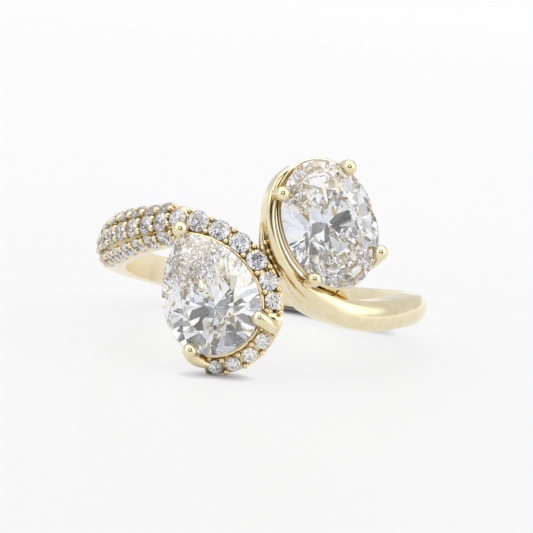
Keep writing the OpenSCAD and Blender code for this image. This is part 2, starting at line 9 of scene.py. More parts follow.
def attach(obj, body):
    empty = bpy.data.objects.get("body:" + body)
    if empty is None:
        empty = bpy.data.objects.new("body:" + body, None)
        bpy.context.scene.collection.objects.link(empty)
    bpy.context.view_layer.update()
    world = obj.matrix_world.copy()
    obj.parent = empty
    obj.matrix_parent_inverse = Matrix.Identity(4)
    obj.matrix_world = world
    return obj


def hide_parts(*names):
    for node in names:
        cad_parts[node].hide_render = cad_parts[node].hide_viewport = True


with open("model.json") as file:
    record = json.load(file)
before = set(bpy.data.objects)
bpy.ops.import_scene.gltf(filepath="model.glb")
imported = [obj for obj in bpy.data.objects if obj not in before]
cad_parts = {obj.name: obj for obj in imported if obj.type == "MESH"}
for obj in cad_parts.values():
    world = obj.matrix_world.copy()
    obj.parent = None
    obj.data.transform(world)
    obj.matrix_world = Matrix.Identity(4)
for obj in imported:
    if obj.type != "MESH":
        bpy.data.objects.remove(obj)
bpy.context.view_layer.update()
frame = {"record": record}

# Ring coordinates are in millimetres: x to the side, y to the back, z along the finger.
# The finger hole's mount gives their place in the frame.
mount = frame["record"]["mounts"][0]
mountHeight = 0.2809  # of the mount's point along the finger
mm = 0.001
ringAxis = Vector(mount["axis"]).normalized()
ringBack = ringAxis.cross(Vector((1, 0, 0))).normalized()
ringSide = ringBack.cross(ringAxis)
ringMiddle = Vector(mount["pos_m"]) - ringAxis * mountHeight * mm
ringAxes = np.array([ringSide, ringBack, ringAxis])


def toFrame(points):
    return np.asarray(points, float) @ ringAxes * mm + np.array(ringMiddle)


def unit(v):
    v = np.asarray(v, float)
    return v / np.linalg.norm(v, axis=-1, keepdims=True)


def squared(v, axis):
    return unit(v - axis * np.sum(v * axis, axis=-1, keepdims=True))


def mix(a, b, share):
    return a + (b - a) * share


def eased(share):
    return share * share * (3 - 2 * share)


def curvePoint(a, b, c, d, t):
    # on a Catmull-Rom curve through the four points, between the middle two
    return (2 * b + (c - a) * t + (2 * a - 5 * b + 4 * c - d) * t ** 2 + (3 * b - a - 3 * c + d) * t ** 3) / 2


def linearColour(hexText):
    parts = [int(hexText[i:i + 2], 16) / 255 for i in (1, 3, 5)]
    return [p / 12.92 if p <= 0.04045 else ((p + 0.055) / 1.055) ** 2.4 for p in parts] + [1.0]


def addNode(tree, kind, settings=None, links=None):
    node = tree.nodes.new(kind)
    for name, value in (settings or {}).items():
        if name in node.inputs:
            node.inputs[name].default_value = value
        else:
            setattr(node, name, value)
    for name, source in (links or {}).items():
        tree.links.new(source, node.inputs[name])
    return node


def addPiece(name, points, faces, material, slot, node, crease=None):
    mesh = bpy.data.meshes.new(name)
    mesh.from_pydata([tuple(p) for p in toFrame(points)], [], [tuple(int(i) for i in f) for f in faces])
    mesh.validate()
    mesh.update()
    if crease is not None:
        # edges that bend more than this many degrees stay crisp
        mesh.shade_smooth()
        mesh.set_sharp_from_angle(angle=math.radians(crease))
    mesh.materials.append(material)
    piece = bpy.data.objects.new(name, mesh)
    bpy.context.scene.collection.objects.link(piece)
    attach(piece, "root")
    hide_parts(node)
    return piece


def ringOf(i, around, start=0):
    return [start + i * around + j for j in range(around)]


def skin(rings, around, start=0, loop=False, turnedOver=False):
    # four-sided faces between each ring of points and the next
    faces = []
    for i in range(rings if loop else rings - 1):
        here, there = ringOf(i, around, start), ringOf((i + 1) % rings, around, start)
        for j in range(around):
            k = (j + 1) % around
            face = (here[j], there[j], there[k], here[k])
            faces.append((face[0], *face[:0:-1]) if turnedOver else face)
    return faces


def joined(parts):
    points, faces, start = [], [], 0
    for p, f in parts:
        points.append(p)
        faces += [[i + start for i in face] for face in f]
        start += len(p)
    return np.concatenate(points), faces


# Camera at the photograph's angle to the ring: a long lens, about 250 mm away
view = {"yaw": -0.48, "pitch": -3.09, "roll": 8.95, "distance": 250, "pixelsPerMm": 16.568,
        "middleX": 261.973, "middleY": 281.136, "imageWidth": 533, "sensor": 36, "nearest": 0.01}


def makeCamera():
    yaw, pitch, roll = (math.radians(view[k]) for k in ("yaw", "pitch", "roll"))
    forward = np.array([math.sin(yaw) * math.cos(pitch), math.cos(yaw) * math.cos(pitch), -math.sin(pitch)])
    level = np.array([math.cos(yaw), -math.sin(yaw), 0])
    upright = np.cross(level, forward)
    right = math.cos(roll) * level + math.sin(roll) * upright
    top = -math.sin(roll) * level + math.cos(roll) * upright
    place = toFrame([-view["distance"] * forward])[0]
    columns = [Vector(v @ ringAxes) for v in (right, top, -forward)]
    data = bpy.data.cameras.new("camera")
    data.sensor_width = view["sensor"]
    data.lens = view["sensor"] * view["pixelsPerMm"] * view["distance"] / view["imageWidth"]
    half = view["imageWidth"] / 2
    data.shift_x = (half - view["middleX"]) / view["imageWidth"]
    data.shift_y = (view["middleY"] - half) / view["imageWidth"]
    data.clip_start = view["nearest"]
    camera = bpy.data.objects.new("camera", data)
    camera.matrix_world = Matrix.Translation(Vector(place)) @ Matrix(columns).transposed().to_4x4()
    bpy.context.scene.collection.objects.link(camera)
    bpy.context.scene.camera = camera


makeCamera()
print("camera placed")


def startMaterial(name):
    material = bpy.data.materials.new(name)
    material.use_nodes = True
    tree = material.node_tree
    return material, tree, tree.nodes["Principled BSDF"], addNode(tree, "ShaderNodeTexCoord").outputs["Object"]


def cloudyTint(tree, cloud, colours, fromTo):
    # one colour drifts into the other over a soft cloud
    tint = addNode(tree, "ShaderNodeValToRGB", links={"Fac": cloud.outputs["Fac"]})
    for stop, colour, place in zip(tint.color_ramp.elements, colours, fromTo):
        stop.position = place
        stop.color = linearColour(colour)
    return tint.outputs["Color"]


# 14 carat yellow gold, cast, then polished on a wheel: a pale warm mirror whose highlights are cream and whose
# folds go golden brown, partly because light bounces in them several times and partly from a painted shade in
# its colour
gold = {"colour": "#ecddb6", "wornColour": "#f1e6c6", "foldShadeColour": "#bd9d52", "roughness": 0.1,
        "roughest": 0.17, "polishMm": 0.7, "scratchMm": 0.06, "scratchDepth": 0.02, "foldShadeMm": 0.55,
        "foldShadeFrom": 0.25, "foldShadeTo": 0.86, "tintFromTo": [0.35, 0.7], "hazeFromTo": [0.3, 0.7]}
# inside the finger hole the same gold is burnished by hand, which leaves it softer; its paler colour there is
# painted light, for the even bright light that side catches
burnishWithPaintedLight = {"colour": "#f6ecd2", "wornColour": "#fbf4e0", "foldShadeColour": "#e2cc94", "roughness": 0.28,
           "roughest": 0.36, "polishMm": 0.9, "scratchMm": 0.08, "scratchDepth": 0.03, "foldShadeMm": 0.5,
           "foldShadeFrom": 0.2, "foldShadeTo": 0.7, "tintFromTo": [0.35, 0.7], "hazeFromTo": [0.3, 0.7]}


def makeGold(name, finish):
    material, tree, shader, place = startMaterial(name)
    shader.inputs["Metallic"].default_value = 1
    wear = addNode(tree, "ShaderNodeTexNoise", {"Scale": 1 / (finish["polishMm"] * mm), "Detail": 3},
                   {"Vector": place})
    tint = cloudyTint(tree, wear, (finish["colour"], finish["wornColour"]), finish["tintFromTo"])
    # painted shade: where ambient occlusion finds a fold, the base colour goes over to the deeper fold shade
    # colour
    reach = addNode(tree, "ShaderNodeAmbientOcclusion", {"samples": 8, "Distance": finish["foldShadeMm"] * mm})
    unshaded = addNode(tree, "ShaderNodeMapRange",
                       {"From Min": finish["foldShadeFrom"], "From Max": finish["foldShadeTo"]},
                       {"Value": reach.outputs["AO"]})
    colour = addNode(tree, "ShaderNodeMix", {"data_type": "RGBA"}, {0: unshaded.outputs["Result"], 7: tint})
    colour.inputs[6].default_value = linearColour(finish["foldShadeColour"])
    tree.links.new(colour.outputs[2], shader.inputs["Base Color"])
    hazeFrom, hazeTo = finish["hazeFromTo"]
    haze = addNode(tree, "ShaderNodeMapRange", {"From Min": hazeFrom, "From Max": hazeTo,
                   "To Min": finish["roughness"], "To Max": finish["roughest"]}, {"Value": wear.outputs["Fac"]})
    tree.links.new(haze.outputs["Result"], shader.inputs["Roughness"])
    # polishing lines are finer than a pixel, so they only soften the reflections
    lines = addNode(tree, "ShaderNodeTexNoise", {"Scale": 1 / (finish["scratchMm"] * mm), "Detail": 2},
                    {"Vector": place})
    relief = addNode(tree, "ShaderNodeBump", {"Strength": finish["scratchDepth"], "Distance": 0.01 * mm},
                     {"Height": lines.outputs["Fac"]})
    tree.links.new(relief.outputs["Normal"], shader.inputs["Normal"])
    return material


# Diamond, cut and polished: bright white with grey and near-black facets, crisp edges, and a
# faint cool or warm tint that changes from facet to facet
diamond = {"cool": "#eef4ff", "warm": "#fdfbf8", "ior": 2.417, "tintMm": 1.6, "tintFromTo": [0.4, 0.6]}


def makeDiamond():
    material, tree, shader, place = startMaterial("polishedDiamond")
    shader.inputs["Roughness"].default_value = 0
    shader.inputs["IOR"].default_value = diamond["ior"]
    shader.inputs["Transmission Weight"].default_value = 1
    cloud = addNode(tree, "ShaderNodeTexNoise", {"Scale": 1 / (diamond["tintMm"] * mm), "Detail": 1},
                    {"Vector": place})
    tint = cloudyTint(tree, cloud, (diamond["cool"], diamond["warm"]), diamond["tintFromTo"])
    tree.links.new(tint, shader.inputs["Base Color"])
    return material


polishedGold = makeGold("polishedYellowGold", gold)
burnishedPaintedLightGold = makeGold("burnishedPaintedLightYellowGold", burnishWithPaintedLight)
polishedDiamond = makeDiamond()
print("materials made")


def addGold(name, points, faces, crease):
    return addPiece(name, points, faces, polishedGold, "yellow_gold", "ring_mount", crease)


# The two heads: a pear stone and an oval stone, each in a frame of middle, outward and two axes
hole = {"diameter": 16.5, "wall": 1.85, "headRise": 3.35}
pear = {"length": 7.5, "width": 5.7, "turn": -14.7, "height": -1.7, "spin": 31.7}
oval = {"length": 7.65, "width": 5.55, "turn": 17.3, "height": 3.3, "spin": 30.6}
holeRadius = hole["diameter"] / 2
outerRadius = holeRadius + hole["wall"]
girdleRadius = holeRadius + hole["headRise"]
fingerUp = np.array([0.0, 0, 1])


def turned(angle):
    return np.array([math.sin(math.radians(angle)), -math.cos(math.radians(angle)), 0])


def headFrame(stone):
    turn, spin = math.radians(stone["turn"]), math.radians(stone["spin"])
    out = turned(stone["turn"])
    side = np.array([math.cos(turn), math.sin(turn), 0])
    return [girdleRadius * out + stone["height"] * fingerUp, out,
            math.cos(spin) * side + math.sin(spin) * fingerUp,
            math.cos(spin) * fingerUp - math.sin(spin) * side]


def onHead(head, point, rise):
    return head[0] + point[0] * head[2] + point[1] * head[3] + rise * head[1]


def alongHead(head, direction):
    return direction[0] * head[2] + direction[1] * head[3]


pearFrame = headFrame(pear)
ovalFrame = headFrame(oval)
pearEndR = pear["width"] / 2
pearReach = pear["length"] - pearEndR
pearArcR = (pearReach ** 2 + pearEndR ** 2) / pear["width"]
pearArcX = pearArcR - pearEndR
pearEndY = pearEndR - pear["length"] / 2


def pearSide(angle, gap):
    a = math.radians(angle)
    b = pearArcX * math.cos(a)
    r = math.sqrt(b * b - pearArcX ** 2 + (pearArcR + gap) ** 2) - b
    return r * np.array([math.cos(a), math.sin(a)])


def pearPoint(angle, gap):
    a = math.radians(angle)
    if math.sin(a) <= 1e-9:
        p = (pearEndR + gap) * np.array([math.cos(a), math.sin(a)])
    elif math.cos(a) < 0:
        p = pearSide(180 - angle, gap) * [-1, 1]
    else:
        p = pearSide(angle, gap)
    return p + [0, pearEndY]


def pearOutward(angle):
    a = math.radians(angle)
    if math.sin(a) <= 1e-9:
        return np.array([math.cos(a), math.sin(a)])
    if math.cos(a) < -1e-9:
        return unit(pearSide(180 - angle, 0) + [pearArcX, 0]) * [-1, 1]
    return unit(pearSide(angle, 0) + [pearArcX, 0])


def ovalOutward(angle):
    a = math.radians(angle)
    return unit([math.cos(a) / oval["width"], math.sin(a) / oval["length"]])


def ovalPoint(angle, gap):
    a = math.radians(angle)
    edge = np.array([math.cos(a) * oval["width"], math.sin(a) * oval["length"]]) / 2
    return edge + gap * ovalOutward(angle)


# The band runs through key sections, from the halo's tail round the finger to the curl's end. Their rows
# scale the values beside them.
# halo: angle round the pear, gap, lean, drop, width, crown, depth
halo = {"width": 1.32, "crown": 0.25, "gap": 0.69, "drop": 0.5, "depth": 1.35, "lean": 24, "foot": 0.6,
        "rows": [[-124, 1.00, 1.75, 1.50, 0.92, 1.0, 0.80], [-112, 1.00, 1.75, 1.45, 1.00, 1.0, 0.90],
                 [-95, 1.00, 1.65, 1.35, 1.00, 1.0, 1.00], [-75, 1.00, 1.50, 1.25, 1.00, 1.0, 1.00],
                 [-55, 1.00, 1.35, 1.10, 1.00, 1.0, 1.00], [-35, 1.00, 1.10, 1.00, 1.00, 1.0, 1.00],
                 [-15, 1.00, 1.00, 1.00, 1.00, 1.0, 1.00], [5, 1.00, 1.00, 1.00, 1.00, 1.0, 1.00],
                 [25, 1.00, 1.00, 1.00, 1.00, 1.0, 1.00], [45, 1.00, 1.00, 1.00, 1.00, 1.0, 1.00],
                 [63, 1.00, 0.90, 1.00, 1.00, 1.0, 1.10], [78, 1.18, 0.70, 1.00, 1.05, 1.3, 1.30],
                 [89, 1.42, 0.45, 0.90, 1.25, 2.2, 1.60]]}
# pave: way from the pear's tip to the left side, height, rise, lean, width, crown, depth
pave = {"width": 2.42, "crown": 1.12, "foot": 0.85,
        "rows": [[0.115, 0.84, 0.78, 4, 0.97, 0.90, 0.72], [0.21, 0.75, 0.58, 2, 1.00, 1.00, 0.95],
                 [0.315, 0.67, 0.40, -2, 1.03, 1.00, 1], [0.44, 0.56, 0.25, -6, 1.08, 1.00, 1],
                 [0.57, 0.46, 0.13, -8, 1.13, 1.00, 1], [0.715, 0.35, 0.05, -9, 1.12, 0.95, 1],
                 [0.87, 0.22, 0.00, -6, 0.97, 0.75, 1]]}
# shank: turn round the finger, height, width
shank = {"width": 1.9, "crown": 0.72, "overlap": 0.35,
         "rows": [[-98, 0.11, 0.94], [-115, 0.04, 0.93], [-132, 0.01, 0.96], [-148, 0, 1], [-164, 0, 1],
                  [-180, 0, 1], [-196, 0, 1], [-212, 0, 1], [-228, 0, 1], [-246, 0, 1]]}
# right shoulder: turn round the finger, dip, rise, width
shoulder = {"dip": 1.48,
            "rows": [[95, 0.06, 0, 1], [78, 0.27, 0, 1], [64, 0.55, 0, 1], [52, 0.82, 0.03, 1],
                     [40, 1.00, 0.10, 0.98], [30, 0.97, 0.20, 0.92]]}
# curl: angle round the oval, gap, drop, lean, width, depth, crown
curl = {"width": 0.72, "crown": 0.3, "gap": 0.6, "depth": 1.45, "foot": 0.85,
        "rows": [[238, 1.84, 0.62, 30, 2.10, 1.55, 1.85], [222, 1.54, 0.48, 26, 1.70, 1.50, 1.65],
                 [208, 1.30, 0.34, 20, 1.36, 1.40, 1.35], [194, 1.15, 0.24, 16, 1.13, 1.25, 1.15],
                 [178, 1.05, 0.15, 12, 1.00, 1.10, 1.05], [160, 0.96, 0.10, 8, 0.96, 1.00, 1.0],
                 [142, 0.78, 0.07, 6, 0.98, 0.95, 1.0], [124, 0.50, 0.07, 4, 0.88, 0.85, 0.8],
                 [108, 0.16, 0.15, 2, 0.62, 0.75, 0.6], [96, -0.15, 0.34, 0, 0.40, 0.60, 0.5]]}


def bandKey(turn, height, reach, lean, width, crown, depth, foot):
    # a section: place, top direction, foot direction, width, crown, depth, and the foot's share of the width
    a = math.radians(lean)
    out = turned(turn)
    return [*(reach * out + height * fingerUp), *(math.cos(a) * out + math.sin(a) * fingerUp), *(-out),
            width, crown, (reach - holeRadius + shank["overlap"]) * depth, foot]


def makeBandKeys():
    keys = []
    for angle, gap, lean, drop, width, crown, depth in halo["rows"]:
        out = alongHead(pearFrame, pearOutward(angle))
        a = math.radians(halo["lean"] * lean)
        top = math.cos(a) * pearFrame[1] + math.sin(a) * out
        place = onHead(pearFrame, pearPoint(angle, halo["gap"] * gap), -halo["drop"] * drop)
        keys.append([*place, *top, *(-top), halo["width"] * width, halo["crown"] * crown,
                     halo["depth"] * depth, halo["foot"]])
    tip = np.array(keys[-1][:3])
    tipTurn = math.degrees(math.atan2(tip[0], -tip[1]))
    tipRadius = math.hypot(tip[0], tip[1])
    for way, height, rise, lean, width, crown, depth in pave["rows"]:
        keys.append(bandKey(mix(tipTurn, -90, way), tip[2] * height, mix(outerRadius, tipRadius, rise), lean,
                            pave["width"] * width, pave["crown"] * crown, depth, pave["foot"]))
    for turn, height, width in shank["rows"]:
        keys.append(bandKey(turn, shank["width"] * height, outerRadius, 0, shank["width"] * width,
                            shank["crown"], 1, 1))
    for turn, dip, rise, width in shoulder["rows"]:
        keys.append(bandKey(turn, -shoulder["dip"] * dip, mix(outerRadius, girdleRadius, rise), 0,
                            shank["width"] * width, shank["crown"], 1, 1))
    for angle, gap, drop, lean, width, depth, crown in curl["rows"]:
        out = alongHead(ovalFrame, ovalOutward(angle))
        a = math.radians(lean)
        place = onHead(ovalFrame, ovalPoint(angle, curl["gap"] * gap), -curl["depth"] * drop)
        keys.append([*place, *(math.cos(a) * ovalFrame[1] + math.sin(a) * out), *(-ovalFrame[1]),
                     curl["width"] * width, curl["crown"] * crown, curl["depth"] * depth, curl["foot"]])
    return np.array(keys)


bandKeys = makeBandKeys()
haloKeys = len(halo["rows"])
curlStart = len(bandKeys) - len(curl["rows"])


def bandSections(spots):
    last = len(bandKeys) - 1
    i = np.minimum(np.floor(spots).astype(int), last - 1)
    neighbours = (bandKeys[np.clip(i + k, 0, last)] for k in (-1, 0, 1, 2))
    return curvePoint(*neighbours, (spots - i)[:, None])


def travelled(sections):
    steps = np.linalg.norm(np.diff(sections[:, :3], axis=0), axis=1)
    return np.concatenate([[0], np.cumsum(steps)])


# Stones are placed along the band on the same coarse steps that the solid part has
coarse = bandSections(np.arange(0, len(bandKeys) - 0.5, 0.5))
coarseLengths = travelled(coarse)


def coarseTravel(i):
    return unit(coarse[min(i + 1, len(coarse) - 1), :3] - coarse[max(i - 1, 0), :3])


def bandAt(length, angle):
    spot = np.interp(length, coarseLengths, np.arange(len(coarse)))
    i = min(int(spot), len(coarse) - 2)
    section = mix(coarse[i], coarse[i + 1], spot - i)
    along = unit(mix(coarseTravel(i), coarseTravel(i + 1), spot - i))
    top = squared(section[3:6], along)
    side = np.cross(along, top)
    a = math.radians(angle)
    place = section[:3] + side * (section[9] / 2 * math.sin(a)) - top * (section[10] * (1 - math.cos(a)))
    return place, unit(side * (math.sin(a) * 2 / section[9]) + top * (math.cos(a) / section[10])), along


# halo rows: share of the diameter, and pitches to the next stone
smallStones = {"haloDiameter": 1.27, "paveDiameter": 1.14, "sink": 0.09, "pavePitch": 1.4, "columns": 7,
               "rowAngle": 57.3, "haloStart": 0.428, "haloPitches": 10.06, "girdleShare": 0.05,
               "haloRows": [[0.72, 0.786], [0.72, 0.786], [0.73, 0.793], [0.74, 1.724], [0.80, 0.828],
                            [0.90, 1], [0.97, 1], [1.00, 1], [1.01, 0.966], [1.01, 0.931], [0.90, 1]]}
haloPitch = coarseLengths[(haloKeys - 1) * 2] / smallStones["haloPitches"]
haloLengths = [smallStones["haloStart"] * haloPitch]
for row in smallStones["haloRows"]:
    haloLengths.append(haloLengths[-1] + row[1] * haloPitch)
paveLengths = [haloLengths[-1] + i * smallStones["pavePitch"] for i in range(smallStones["columns"])]
paveAngles = [-smallStones["rowAngle"], 0, smallStones["rowAngle"]]


def stoneFrame(length, angle):
    place, out, along = bandAt(length, angle)
    return [place - smallStones["sink"] * out, out, np.cross(along, out), along]


haloStones = [(stoneFrame(length, 0), smallStones["haloDiameter"] * row[0])
              for length, row in zip(haloLengths, smallStones["haloRows"])]
paveStones = [(stoneFrame(length, angle), smallStones["paveDiameter"])
              for length in paveLengths for angle in paveAngles]

# each step of a claw: angle round the stone, gap outside its edge, rise above its girdle, radius
claws = {"ovalAngles": [42.2, 137.8, 222.2, 317.8], "ovalBall": [0.12, 0.348],
         "ovalSteps": [[0, -0.55, -1.7, 0.31], [0, 0.12, -1, 0.33], [0, 0.33, -0.35, 0.33],
                       [0, 0.2, 0.15, 0.26]],
         "freeSteps": [[-120, 0.52, -0.7, 0.22], [-126, 0.46, -0.42, 0.32], [-131, 0.38, -0.15, 0.38],
                       [-135.5, 0.24, 0.15, 0.41], [-138, 0.04, 0.42, 0.43]],
         "tailSteps": [[-45, 0.98, -0.62, 0.24], [-43, 0.85, -0.25, 0.36], [-40.5, 0.5, 0.18, 0.43],
                       [-38.5, 0.14, 0.4, 0.45]],
         "wedgeSteps": [[300, 0.06, -0.5, 0.1], [306, 0.17, -0.38, 0.18], [313, 0.22, -0.1, 0.27],
                        [317.8, 0.16, 0.2, 0.3]],
         "tipSteps": [[90, -0.55, -1.7, 0.31], [90, 0.1, -1, 0.33], [90, 0.24, -0.1, 0.34],
                      [90, 0.14, 0.44, 0.34]],
         "ballRadius": 0.45, "tipBallRadius": 0.47, "plainShare": 0.45, "pathSteps": 8, "crease": 60}
# beside the claw that comes over the halo the band stays plain
claws["plainFrom"] = haloLengths[3] + claws["plainShare"] * haloPitch
claws["plainTo"] = haloLengths[4] - claws["plainShare"] * haloPitch

# Surface of the band: an elliptic top, two walls, and a foot that follows the finger hole
surface = {"topPoints": 81, "wallPoints": 3, "cornerPoints": 7, "footPoints": 6, "beadedStep": 0.047,
           "plainStep": 0.16, "fineSteps": 6000, "clearance": 0.04, "cornerRadius": 0.3,
           "comfortRadius": 0.95, "wallCorner": 0.92, "footCorner": 0.6, "soleReach": 1.3, "crease": 40}
# between the small stones the metal is cut away, so that the beads stand on pillars
recess = {"halo": 0.15, "pave": 0.16, "start": 0.25, "end": 1.35, "startFade": 0.3, "endFade": 0.9,
          "wallFade": 5, "wallFrom": 72, "sideFrom": 50, "sideTo": 90, "sideShare": 0.35, "plainFade": 0.42,
          "valleyDepth": 0.08, "valleyWidth": 9}
# seats of the small stones
seat = {"depth": 0.05, "slope": 0.95, "play": 0.015, "rimSlope": 6, "reach": 0.3, "lowest": -0.9}
# a hollow beside the curl's crest: spot after the curl's first key, angle across the top, depth
hollow = {"steps": [[-0.7, -18, 0], [0.2, -24, 0.12], [1.0, -32, 0.3], [1.6, -38, 0.34], [2.1, -50, 0.28],
                    [2.8, -60, 0]], "width": 22}


def bandSpots():
    fineSpots = np.linspace(0, len(bandKeys) - 1, surface["fineSteps"])
    lengths = travelled(bandSections(fineSpots))
    end = paveLengths[-1] + smallStones["pavePitch"]
    beaded = np.arange(0, end * lengths[-1] / coarseLengths[-1], surface["beadedStep"])
    left = lengths[-1] - beaded[-1]
    plain = np.linspace(beaded[-1], lengths[-1], int(left / surface["plainStep"]))[1:]
    return np.interp(np.concatenate([beaded, plain]), lengths, fineSpots)


def softened(points, lengths):
    # a weighted mean along the band, so that its finger side changes slowly beside the pear
    near = np.exp(-((lengths[:, None] - lengths) / surface["soleReach"]) ** 2) * np.gradient(lengths)
    ends = [haloLengths[5], haloLengths[8], paveLengths[3], paveLengths[5]]
    share = np.interp(lengths, ends, [0, 1, 1, 0])[:, None]
    return mix(points, near @ points / near.sum(axis=1, keepdims=True), share)


def roundedFoot(sole, footHalf, edges, radius):
    # the two walls and the foot as one line, with its corners rounded
    columns = []
    for edge, end, other in ((edges[0], sole[0], sole[1]), (edges[1], sole[1], sole[0])):
        wall = np.linalg.norm(edge - end, axis=1, keepdims=True)
        start = end + unit(edge - end) * np.minimum(radius, wall * surface["wallCorner"])
        stop = end + unit(other - end) * np.minimum(radius, footHalf * surface["footCorner"])
        side = [mix(edge, start, t) for t in np.linspace(0, 1, surface["wallPoints"] + 1)[1:]]
        bend = [mix(mix(start, end, t), mix(end, stop, t), t)
                for t in np.linspace(0, 1, surface["cornerPoints"] + 1)[1:]]
        columns.append(side + bend)
    steps = np.linspace(0, 1, surface["footPoints"])[1:-1]
    return columns[0] + [mix(columns[0][-1], columns[1][-1], t) for t in steps] + columns[1][::-1]


def partWay(value, start, end):
    return np.clip((value - start) / (end - start), 0, 1)


def cutDepths(lengths):
    # how deep the top and the walls are cut, and how far the band is pave and not halo
    last = paveLengths[-1] + recess["end"]
    toPave = partWay(lengths, haloLengths[-2], haloLengths[-2] + haloPitch)
    depth = partWay(lengths, recess["start"], recess["start"] + recess["startFade"])
    depth = depth * mix(recess["halo"], recess["pave"], toPave)
    plainRun = partWay(lengths, claws["plainFrom"], claws["plainFrom"] + recess["plainFade"])
    plainRun = plainRun * partWay(lengths, claws["plainTo"], claws["plainTo"] - recess["plainFade"])
    depth = depth * (1 - eased(plainRun))
    ending = partWay(lengths, last, last - recess["endFade"])
    # the walls run out much more slowly than the top, so that no dent crosses them
    slowEnding = partWay(lengths, last, last - recess["wallFade"])
    # a deeper valley runs between the rows of the pave
    valley = recess["valleyDepth"] * toPave * ending * ending
    return [depth * eased(ending) + surface["clearance"], depth * eased(slowEnding) + surface["clearance"],
            valley, toPave]


def topColumns(spots, lengths, sections, side, top):
    half, crown = sections[:, 9:10] / 2, sections[:, 10:11]
    topCut, wallCut, valleyCut, toPave = (line[:, None] for line in cutDepths(lengths))
    hollowSpots, hollowAngles, hollowDepths = np.array(hollow["steps"]).T
    hollowAngle = np.interp(spots, curlStart + hollowSpots, hollowAngles)[:, None]
    hollowDepth = np.interp(spots, curlStart + hollowSpots, hollowDepths)[:, None]
    columns = []
    for angle in np.linspace(-90, 90, surface["topPoints"]):
        a = math.radians(angle)
        out = unit(side * (math.sin(a) / half) + top * (math.cos(a) / crown))
        # the halo's outer edges are cut away less than its top
        beside = partWay(abs(angle), recess["sideFrom"], recess["sideTo"]) * (1 - recess["sideShare"])
        depth = mix(topCut, wallCut, partWay(abs(angle), recess["wallFrom"], 90)) * (1 - beside * (1 - toPave))
        fromValley = (abs(angle) - smallStones["rowAngle"] / 2) / recess["valleyWidth"]
        depth = depth + valleyCut * math.exp(-fromValley ** 2)
        depth = depth + hollowDepth * np.exp(-((angle - hollowAngle) / hollow["width"]) ** 2)
        columns.append(sections[:, :3] + side * (half * math.sin(a)) - top * (crown * (1 - math.cos(a)))
                       - out * depth)
    return columns


def cutSeat(points, place, out, diameter):
    away = points - place
    near = np.linalg.norm(away, axis=1) < diameter
    rise = away[near] @ out
    radial = np.linalg.norm(away[near] - rise[:, None] * out, axis=1)
    edge = diameter / 2 + seat["play"]
    bottom = (radial - edge) * np.where(radial < edge, seat["slope"], seat["rimSlope"]) - seat["depth"]
    reached = (rise > seat["lowest"]) & (radial < edge + seat["reach"])
    change = np.where(reached, np.minimum(rise, bottom) - rise, 0)
    points[near] += change[:, None] * out


def makeBand():
    spots = bandSpots()
    sections = bandSections(spots)
    lengths = np.interp(spots, np.arange(len(coarse)) / 2, coarseLengths)
    along = unit(np.gradient(sections[:, :3], axis=0))
    top = squared(sections[:, 3:6], along)
    foot = squared(sections[:, 6:9], along)
    footSide = np.cross(foot, along)
    columns = topColumns(spots, lengths, sections, np.cross(along, top), top)
    # the finger side of the shank is rounded more, as a comfort fit; the halo and the curl are crisper
    crisp, comfort = surface["cornerRadius"], surface["comfortRadius"]
    radius = np.interp(spots, [haloKeys - 2, haloKeys + 2, curlStart - 1, curlStart + 1],
                       [crisp, comfort, comfort, crisp])[:, None]
    footHalf = sections[:, 12:13] * sections[:, 9:10] / 2
    footMiddle = sections[:, :3] + foot * sections[:, 11:12]
    sole = [softened(footMiddle + footSide * footHalf * s, lengths) for s in (1, -1)]
    columns += roundedFoot(sole, footHalf, (columns[-1], columns[0]), radius)
    grid = np.stack(columns, axis=1)
    flat = grid.reshape(-1, 3)
    for (place, out, _, _), diameter in haloStones + paveStones:
        cutSeat(flat, place, out, diameter)
    # the finger hole stays open and round
    radius = np.hypot(flat[:, 0], flat[:, 1])
    low = radius < holeRadius
    flat[low, :2] *= (holeRadius / radius[low])[:, None]
    rings, around = grid.shape[:2]
    faces = skin(rings, around) + [ringOf(0, around), ringOf(rings - 1, around)[::-1]]
    band = addGold("goldBand", flat, faces, surface["crease"])
    # the finger side takes the burnished gold, whose paler colour is painted light
    band.data.materials.append(burnishedPaintedLightGold)
    footStart = surface["topPoints"] + surface["wallPoints"]
    footEnd = around - surface["wallPoints"] - 1
    for face in band.data.polygons[:(rings - 1) * around]:
        if footStart <= face.index % around < footEnd:
            face.material_index = 1
    print("band made:", len(faces), "faces")


makeBand()

# Beads and the short pillars that they end
beads = {"diameter": 0.42, "haloDiameter": 0.35, "sink": 0.03, "paveAngle": 13, "haloAngle": 42, "clawStep": 4,
         "clawShare": 0.46, "stem": 0.42, "stemShare": 0.92, "around": 14, "levels": [80, 62, 44, 26, 8],
         "crease": 60}
askew = np.array([0.31, 0.52, 0.8])  # no bead or claw points this way


def capsule(place, out, radius, stem):
    side = unit(np.cross(out, askew))
    other = np.cross(out, side)
    around = beads["around"]
    rings = [(radius * math.cos(a), radius * math.sin(a)) for a in np.radians(beads["levels"])]
    rings.append((radius * beads["stemShare"], -stem))
    points = [place + out * radius]
    for r, h in rings:
        for a in np.arange(around) * 2 * math.pi / around:
            points.append(place + r * (math.cos(a) * side + math.sin(a) * other) + h * out)
    faces = [(0, 1 + j, 1 + (j + 1) % around) for j in range(around)]
    faces += skin(len(rings), around, 1) + [ringOf(len(rings) - 1, around, 1)[::-1]]
    return np.array(points), faces


